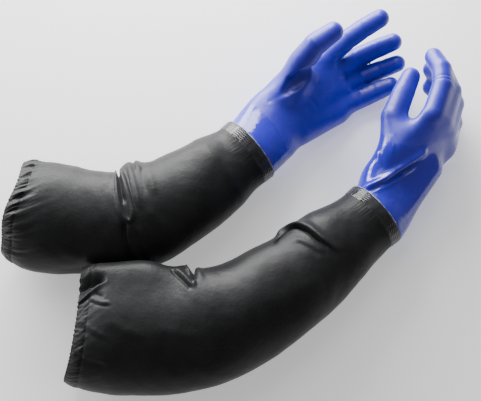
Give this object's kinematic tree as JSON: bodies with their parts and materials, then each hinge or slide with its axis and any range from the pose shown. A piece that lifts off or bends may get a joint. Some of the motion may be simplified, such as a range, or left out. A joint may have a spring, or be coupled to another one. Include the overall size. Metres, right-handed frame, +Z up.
{
  "type": "long sleeve protective glove",
  "caption": "Pair of liquid-proof coated work gloves with long black coated-fabric over-sleeves and elastic upper hems, lying filled out on a bench.",
  "frame": {"origin": "on the bench, under the middle of the pair's box", "axes": "+X from the arm openings towards the hands, +Y away from the user, +Z up"},
  "size_m": [0.6373, 0.547, 0.1478],
  "materials": {
    "blue_pvc": "satin hand, glossy gauntlet",
    "knit_liner": "matte knit",
    "black_coated_fabric": "satin coated",
    "weld_tape": "satin",
    "weld_band": "ribbed weld",
    "seal_bead": "satin",
    "elastic": "woven",
    "thread": "matte"
  },
  "bodies": {
    "right_glove": {"right_glove_shell": "blue_pvc", "right_knit_liner": "knit_liner", "right_sleeve_forearm": "black_coated_fabric", "right_sleeve_elbow": "black_coated_fabric", "right_seam_tape_forearm": "weld_tape", "right_seam_tape_elbow": "weld_tape", "right_join_band": "weld_band", "right_seal_bead": "seal_bead"},
    "right_upper_sleeve": {"right_sleeve_upper": "black_coated_fabric", "right_seam_tape_upper": "weld_tape", "right_hem_casing": "black_coated_fabric", "right_hem_elastic": "elastic", "right_hem_stitching": "thread"},
    "left_glove": {"left_glove_shell": "blue_pvc", "left_knit_liner": "knit_liner", "left_sleeve_forearm": "black_coated_fabric", "left_sleeve_elbow": "black_coated_fabric", "left_seam_tape_forearm": "weld_tape", "left_seam_tape_elbow": "weld_tape", "left_join_band": "weld_band", "left_seal_bead": "seal_bead"},
    "left_upper_sleeve": {"left_sleeve_upper": "black_coated_fabric", "left_seam_tape_upper": "weld_tape", "left_hem_casing": "black_coated_fabric", "left_hem_elastic": "elastic", "left_hem_stitching": "thread"}
  },
  "joints": [
    {"name": "right_elbow_bend", "type": "hinge", "parent": "right_glove", "child": "right_upper_sleeve", "pos_m": [-0.0611, -0.188, 0.06], "axis": [0, 0, 1], "range_deg": [0, 25], "deforming": ["right_sleeve_elbow", "right_seam_tape_elbow"]},
    {"name": "left_glove_lift", "type": "slide", "parent": "right_glove", "child": "left_glove", "axis": [0, 0, 1], "range_m": [0, 0.3]},
    {"name": "left_elbow_bend", "type": "hinge", "parent": "left_glove", "child": "left_upper_sleeve", "pos_m": [-0.1501, -0.036, 0.06], "axis": [0, 0, 1], "range_deg": [-30, 0], "deforming": ["left_sleeve_elbow", "left_seam_tape_elbow"]}
  ]
}
